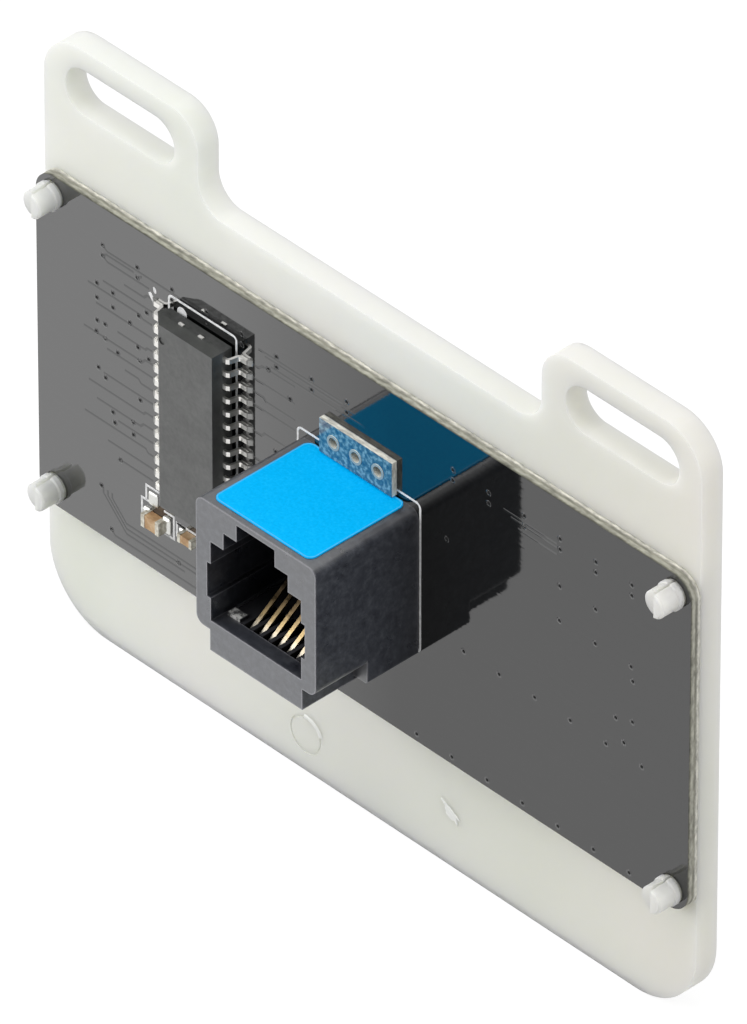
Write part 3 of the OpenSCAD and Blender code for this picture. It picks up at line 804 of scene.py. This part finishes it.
# %% [markdown]
# ## Solder on the capacitors
#
# Each capacitor sits on two tinned pads that are a little longer than its metal ends, and solder climbs
# those ends. Molten solder draws itself into a smooth pillow. Sculpting could make one, but a few rings
# that shrink as they rise come close and stay light. Four pillows reach up the metal ends, and a fifth
# lies on an empty pad above the large capacitor.

# %% solder on the pads
PAD_CORNER, FLAT_TOP = 0.15, 0.05

bright_solder = finish_named("bright_solder", (0.66, 0.66, 0.63), 0.34, 1.0)
rough_by(bright_solder, grain(bright_solder, 1500, 3), 0.22, 0.42)
lift_by(bright_solder, grain(bright_solder, 1800, 2), 0.03)


def add_mound(mesh, left, right, low, high, height, rows=5):
    """A pillow of solder on a rectangular pad."""
    x, z = (left + right) / 2, (low + high) / 2
    half_w, half_h = (right - left) / 2, (high - low) / 2
    outline = rounded_path(-half_w, half_w, -half_h, half_h, PAD_CORNER, 4)
    rings = []
    for r in range(rows + 1):
        a = math.pi / 2 * r / rows
        size = math.cos(a) ** 0.5 if r < rows else FLAT_TOP
        lift = height * math.sin(a) if r else -SUNK
        rings.append([mesh.verts.new(on_board(x + px * size, z + pz * size, lift)) for px, pz in outline])
    for first, second in zip(rings, rings[1:]):
        join_rings(mesh, first, second)
    mesh.faces.new(rings[-1])
    mesh.faces.new(rings[0][::-1])


# each pillow's left, right, low and high edge, then its height
pads = bmesh.new()
add_mound(pads, big_left - 0.45, big_left + 0.3, big_low - 0.02, big_high + 0.12, 0.30)
add_mound(pads, big_right - 0.3, big_right + 0.55, big_low + 0.02, big_high + 0.3, 0.28)
add_mound(pads, small_left - 0.5, small_left + 0.25, small_low, small_high, 0.26)
add_mound(pads, small_right - 0.25, small_right + 0.5, small_low, small_high, 0.26)
add_mound(pads, upper_left + 0.3, upper_left + 1.35, upper_top - 1.6, upper_top - 0.35, 0.16)
finished_piece("solder_pads", pads, bright_solder, True)

# %% [markdown]
# ## Driver chip
#
# The chip's body is black resin full of fine quartz, so it is matt and shows up grey in a bright room. A
# grey base could imitate that, but it would be as grey on the sides. Here the base is nearly black, and
# a high index of refraction lets the face mirror the room softly. The surface is a little mottled, and
# the two ends mirror less light than the face does. The leads are tin plated, bright and slightly wavy.

# %% chip resin
def gloss_by_side(material, axis, level_across, level_along):
    """One strength of the mirror on faces across an axis, another on faces that look along it."""
    turned = combined(material, "ABSOLUTE", facing(material, axis))
    drive(material, "Specular IOR Level", spread(material, turned, 0.5, 0.9, level_across, level_along))


chip_resin = finish_named("chip_resin", (0.016, 0.017, 0.016), 0.40, IOR=1.95)
mottle = ramp(
    chip_resin, grain(chip_resin, 420, 5, roughness=0.65),
    (0.36, (0.008, 0.009, 0.008)), (0.50, (0.016, 0.018, 0.016)), (0.66, (0.030, 0.031, 0.030)),
)
paint(chip_resin, mottle)
rough_by(chip_resin, grain(chip_resin, 2500, 2), 0.40, 0.56)
lift_by(chip_resin, grain(chip_resin, 6000, 3, roughness=0.6), 0.014)
gloss_by_side(chip_resin, "Z", 0.48, 0.26)
dress("driver_chip", chip_resin, 0.06)

# %% tin, silver and solder
bright_tin = finish_named("bright_tin", (0.78, 0.77, 0.74), 0.36, 1.0)
rough_by(bright_tin, grain(bright_tin, 1200, 3), 0.28, 0.46)
lift_by(bright_tin, grain(bright_tin, 900, 2), 0.03)
dress("chip_leads", bright_tin, 0.04)

fired_silver = finish_named("fired_silver", (0.60, 0.57, 0.49), 0.5, 0.3)
paint(fired_silver, ramp(
    fired_silver, grain(fired_silver, 2200, 4), (0.38, (0.42, 0.39, 0.31)), (0.60, (0.72, 0.70, 0.62)),
))
lift_by(fired_silver, grain(fired_silver, 2500, 3), 0.015)
for node in ("large_capacitor_ends", "small_capacitor_ends"):
    dress(node, fired_silver, 0.04)

dull_solder = finish_named("dull_solder", (0.32, 0.32, 0.31), 0.45, 1.0)
rough_by(dull_solder, grain(dull_solder, 1800, 3), 0.36, 0.56)
lift_by(dull_solder, grain(dull_solder, 2500, 3), 0.02)
dress("chip_solder", dull_solder, 0.03)
dress("jack_solder", bright_solder)

# %% [markdown]
# ## Plug socket
#
# The housing is moulded in black plastic with a fine spark-eroded texture. As on the chip, a soft mirror
# over a nearly black base makes the front grey and leaves the sides dark. Lamps alone don't make the
# inside dark enough, so shade is painted into it: a helper tells how open each place is, and the colour
# goes near black in the hollows. The edges are polished by handling, and a painted highlight draws a thin
# bright line along them. It could be drawn along each edge, but a second helper finds all edges at once,
# where a rounded normal leaves the flat one. The comb behind the mouth is matt, with painted shade in its
# hollows and a painted highlight on one pale corner. The six contacts are gold plated and silver at the
# low end, with painted shade high up and in the hollows.

# %% open places and edges
PROBES = 4


def openness(material, reach_mm, low, high):
    """0 in a deep hollow, 1 on an open face; reach is how far a wall still counts."""
    tree = material.node_tree
    node = tree.nodes.new("ShaderNodeAmbientOcclusion")
    node.samples = PROBES
    node.only_local = False
    node.inputs["Distance"].default_value = reach_mm * MM
    return spread(material, node.outputs["AO"], low, high)


def edge_light(material, radius_mm, reach=0.12):
    """1 on a band along each edge, 0 on flat faces: how far a rounded normal leaves the flat one."""
    tree = material.node_tree
    rounded = tree.nodes.new("ShaderNodeBevel")
    rounded.samples = PROBES
    rounded.inputs["Radius"].default_value = radius_mm * MM
    flat = tree.nodes.new("ShaderNodeNewGeometry")
    product = tree.nodes.new("ShaderNodeVectorMath")
    product.operation = "DOT_PRODUCT"
    tree.links.new(rounded.outputs["Normal"], product.inputs[0])
    tree.links.new(flat.outputs["True Normal"], product.inputs[1])
    return spread(material, product.outputs["Value"], 1.0, 1.0 - reach)

# %% socket plastic
socket_plastic = finish_named("socket_plastic", (0.030, 0.032, 0.038), 0.34, IOR=2.05)
speckle = ramp(
    socket_plastic, grain(socket_plastic, 1500, 7, roughness=0.72),
    (0.34, (0.013, 0.015, 0.023)), (0.50, (0.031, 0.035, 0.046)), (0.68, (0.066, 0.072, 0.086)),
)
# painted highlight: a lighter grey along every edge
speckle_and_edge_highlight = mixed(socket_plastic, edge_light(socket_plastic, 0.22), speckle, (0.24, 0.24, 0.265))
# painted shade: the hollows of the housing are painted near black
in_the_open = openness(socket_plastic, 9.0, 0.35, 0.80)
paint(socket_plastic, mixed(socket_plastic, in_the_open, (0.002, 0.002, 0.003), speckle_and_edge_highlight))
rough_by(socket_plastic, grain(socket_plastic, 500, 6, roughness=0.65), 0.24, 0.46)
gloss_by_side(socket_plastic, "X", 0.64, 0.17)
dress("jack_housing", socket_plastic, 0.12, 3)

# %% comb with painted shade and a painted highlight on one corner
SHOULDER_W, SHOULDER_DEPTH, SHOULDER_FADE = 1.25 * MM, 0.75 * MM, 0.1 * MM

comb_plastic = finish_named("comb_plastic", (0.03, 0.03, 0.035), 0.6, Specular_IOR_Level=0.12)
# painted shade: the comb is painted near black in its hollows
comb_with_painted_shade = mixed(
    comb_plastic, openness(comb_plastic, 6.0, 0.3, 0.8), (0.001, 0.001, 0.002), (0.035, 0.035, 0.04),
)
comb_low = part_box("jack_comb")[0]
left_end, front_end = comb_low[0] + SHOULDER_W, comb_low[1] + SHOULDER_DEPTH
at_left = spread(comb_plastic, along(comb_plastic, "X"), left_end, left_end + SHOULDER_FADE, 1, 0)
at_front = spread(comb_plastic, along(comb_plastic, "Y"), front_end, front_end + SHOULDER_FADE, 1, 0)
shoulder = combined(comb_plastic, "MULTIPLY", at_left, at_front)
# painted highlight: the comb's left front corner is painted pale
painted_highlight = ramp(
    comb_plastic, grain(comb_plastic, 2600, 3), (0.40, (0.10, 0.10, 0.10)), (0.58, (0.62, 0.62, 0.60)),
)
paint(comb_plastic, mixed(comb_plastic, shoulder, comb_with_painted_shade, painted_highlight))
lift_by(comb_plastic, grain(comb_plastic, 3500, 3), 0.012)
dress("jack_comb", comb_plastic, 0.05)

# %% gold
gold_plate = finish_named("gold_plate", (0.62, 0.46, 0.24), 0.30, 1.0)
contact_low, contact_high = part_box("jack_contact_1")
rise = spread(gold_plate, along(gold_plate, "Z"), contact_low[2], contact_high[2])
# silver at the low end, gold in the middle, and painted shade going dark towards the top
gold_with_painted_shade = ramp(
    gold_plate, rise,
    (0.00, (0.66, 0.65, 0.61)), (0.28, (0.62, 0.59, 0.52)), (0.44, (0.54, 0.40, 0.20)),
    (0.62, (0.30, 0.21, 0.11)), (0.85, (0.07, 0.055, 0.045)),
)
# painted shade: the contacts are painted dark brown in deep hollows
in_the_open = openness(gold_plate, 3.0, 0.1, 0.7)
paint(gold_plate, mixed(gold_plate, in_the_open, (0.04, 0.025, 0.015), gold_with_painted_shade))
rough_by(gold_plate, grain(gold_plate, 1500, 3), 0.24, 0.42)
lift_by(gold_plate, grain(gold_plate, 1100, 2), 0.02)
for number in range(1, 7):
    dress(f"jack_contact_{number}", gold_plate, 0.05)
dress("light_ends", gold_plate)

# %% [markdown]
# ## Blue label
#
# A piece of printed film lies on the socket. Its colour is strong and flat, with a fine grain, and its
# cut edge shows as a paler line. A second colour in the finish could draw that line. A thin raised line
# along the border was chosen, because it catches the light as a real cut does.

# %% label
label_low, label_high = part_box("jack_label")
blue_film = finish_named("blue_film", (0.0, 0.42, 0.98), 0.42, Specular_IOR_Level=0.04)
paint(blue_film, ramp(
    blue_film, grain(blue_film, 4000, 5, roughness=0.7),
    (0.36, (0.0, 0.44, 0.92)), (0.52, (0.0, 0.49, 1.0)), (0.70, (0.01, 0.53, 1.0)),
))
lift_by(blue_film, grain(blue_film, 1800, 3), 0.02, 0.5)
dress("jack_label", blue_film)

# %% the label's cut edge
EDGE_INSET, EDGE_CORNER, EDGE_W, EDGE_LIFT, EDGE_FLANK = 0.09, 0.62, 0.07, 0.015, 0.02


def on_socket_top(x, depth, lift=0.0):
    """A point on the socket's label; depth is its distance behind the label's front edge."""
    return Vector((x * MM, label_low[1] + depth * MM, label_high[2] + lift * MM))


pale_edge = finish_named("pale_edge", (0.06, 0.50, 0.92), 0.5)
lift_by(pale_edge, grain(pale_edge, 4000, 2), 0.01)
across = (label_high[0] - label_low[0]) / 2 / MM - EDGE_INSET
rear = (label_high[1] - label_low[1]) / MM - EDGE_INSET
edge = bmesh.new()
border = rounded_path(-across, across, EDGE_INSET, rear, EDGE_CORNER)
add_line(edge, border, EDGE_W, EDGE_LIFT, True, EDGE_FLANK, on_socket_top)
finished_piece("label_edge", edge, pale_edge)

# %% [markdown]
# ## Solder strip
#
# The strip above the socket is a sliver of the same laminate, so it shares the board's finish, with
# layers of its own and a painted reflection: its mottled blue is the label that it mirrors, painted into
# the lacquer. Its three holes are plated, and only the lower half of each wall catches light. A lamp could
# do that for one view. Painted light, a colour that depends on where the wall faces, does it for all.

# %% strip
strip_low, strip_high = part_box("solder_strip")
# painted reflection: the label's mottled blue, mirrored in the strip's lacquer
STRIP_PAINTED_REFLECTION = ((0.34, (0.02, 0.07, 0.14)), (0.50, (0.06, 0.14, 0.20)), (0.66, (0.22, 0.36, 0.42)))
strip_lacquer_and_reflection = board_finish(
    "strip_lacquer_and_reflection", strip_low[1], strip_high[1] - strip_low[1], STRIP_LAYERS, STRIP_PAINTED_REFLECTION,
)
dress("solder_strip", strip_lacquer_and_reflection, 0.04)
eyelet_tin = finish_named("eyelet_tin", (0.62, 0.65, 0.62), 0.5, 0.35)
rough_by(eyelet_tin, grain(eyelet_tin, 2500, 3), 0.40, 0.60)
lift_by(eyelet_tin, grain(eyelet_tin, 3000, 3), 0.01)
lit_below = spread(eyelet_tin, facing(eyelet_tin, "Z"), -0.5, 0.8)
paint(eyelet_tin, mixed(eyelet_tin, lit_below, (0.05, 0.07, 0.07), (0.95, 0.95, 0.86)))
dress("strip_eyelets", eyelet_tin, 0.015)

# %% [markdown]
# ## Lights and capacitors
#
# The light chips are pale yellow resin. They are hidden between board and panel, so their finish is the
# simplest. The capacitors are fired clay, tan with a paler bloom. A picture of clay could give that, and
# one noise through three colours is enough at their size.

# %% resin and clay
light_resin = finish_named("light_resin", (0.86, 0.86, 0.62), 0.2)
paint(light_resin, ramp(
    light_resin, grain(light_resin, 1500, 2), (0.4, (0.80, 0.80, 0.55)), (0.6, (0.9, 0.9, 0.7)),
))
for number in range(1, 9):
    dress(f"light_row_{number}", light_resin)

tan_ceramic = finish_named("tan_ceramic", (0.42, 0.24, 0.11), 0.4)
paint(tan_ceramic, ramp(
    tan_ceramic, grain(tan_ceramic, 900, 5, roughness=0.6),
    (0.35, (0.32, 0.17, 0.07)), (0.50, (0.46, 0.28, 0.13)), (0.66, (0.64, 0.47, 0.29)),
))
lift_by(tan_ceramic, grain(tan_ceramic, 3000, 3), 0.01)
dress("large_capacitor", tan_ceramic, 0.08)
dress("small_capacitor", tan_ceramic, 0.07)

# %% [markdown]
# ## Moulding marks
#
# Plastic enters a mould through a small gate, and a pin pushes the cold part out. Both leave a mark on the
# panel's back: a torn patch where the gate broke off, and a burr along the pin's round edge. Plastic that
# has been torn or stretched goes whiter than the rest. The burr lies on one side of the round edge only,
# and its white there is also a painted highlight. The marks could be sculpted into the panel, but its
# solid stays as it is, so a few thin scraps and one curved line lie on it.

# %% torn plastic on the panel's back
panel_back = (board_back - board_high[1]) / MM


def on_panel(x, z, lift=0.0):
    """A point on the panel's back, in the board's frame."""
    return on_board(x, z, lift + panel_back)


# whiter torn plastic for the scraps; on the burr its white is also a painted highlight
torn_plastic_and_highlight = finish_named("torn_plastic_and_highlight", (0.87, 0.88, 0.85), 0.55)
lift_by(torn_plastic_and_highlight, grain(torn_plastic_and_highlight, 2600, 4), 0.06)
marks = bmesh.new()
print("the panel's back is below the board's by, mm:", round(-panel_back, 2))

# %% torn gate
GATE_X, GATE_Z = 9.1, -22.05
RAGGED = 0.03
# each scrap's place from the gate, its length and width, and its turn in degrees
SCRAPS = (
    (0.0, 0.0, 1.5, 0.9, -45), (-0.15, 0.2, 1.6, 0.40, -48), (0.5, -0.2, 1.5, 0.34, -60),
    (-0.1, -0.35, 0.9, 0.30, -30), (0.75, -0.05, 0.7, 0.26, -35), (-0.8, 0.75, 0.6, 0.24, -40),
)

for x, z, length, width, turn in SCRAPS:
    scrap = ring_points(GATE_X + x, GATE_Z + z, length / 2, width / 2, 16, math.radians(turn))
    torn = [(px + random.uniform(-RAGGED, RAGGED), pz + random.uniform(-RAGGED, RAGGED)) for px, pz in scrap]
    add_patch(marks, torn, 0.035 + 0.02 * random.random(), 0.10, on_panel)
print("scraps at the gate:", len(SCRAPS))

# %% burr of the ejector pin
PIN_X, PIN_Z, PIN_R = -7.0, -23.65, 1.75
BURR_START, BURR_SWEEP, BURR_STEPS = 20, 75, 12

burr = []
for k in range(BURR_STEPS + 1):
    a = math.radians(BURR_START + BURR_SWEEP * k / BURR_STEPS)
    burr.append((PIN_X + PIN_R * math.cos(a), PIN_Z + PIN_R * math.sin(a)))
# a raised burr on one side of the pin's mark, whiter as a painted highlight
add_line(marks, burr, 0.16, 0.08, flank=0.15, place=on_panel)
finished_piece("moulding_marks", marks, torn_plastic_and_highlight)
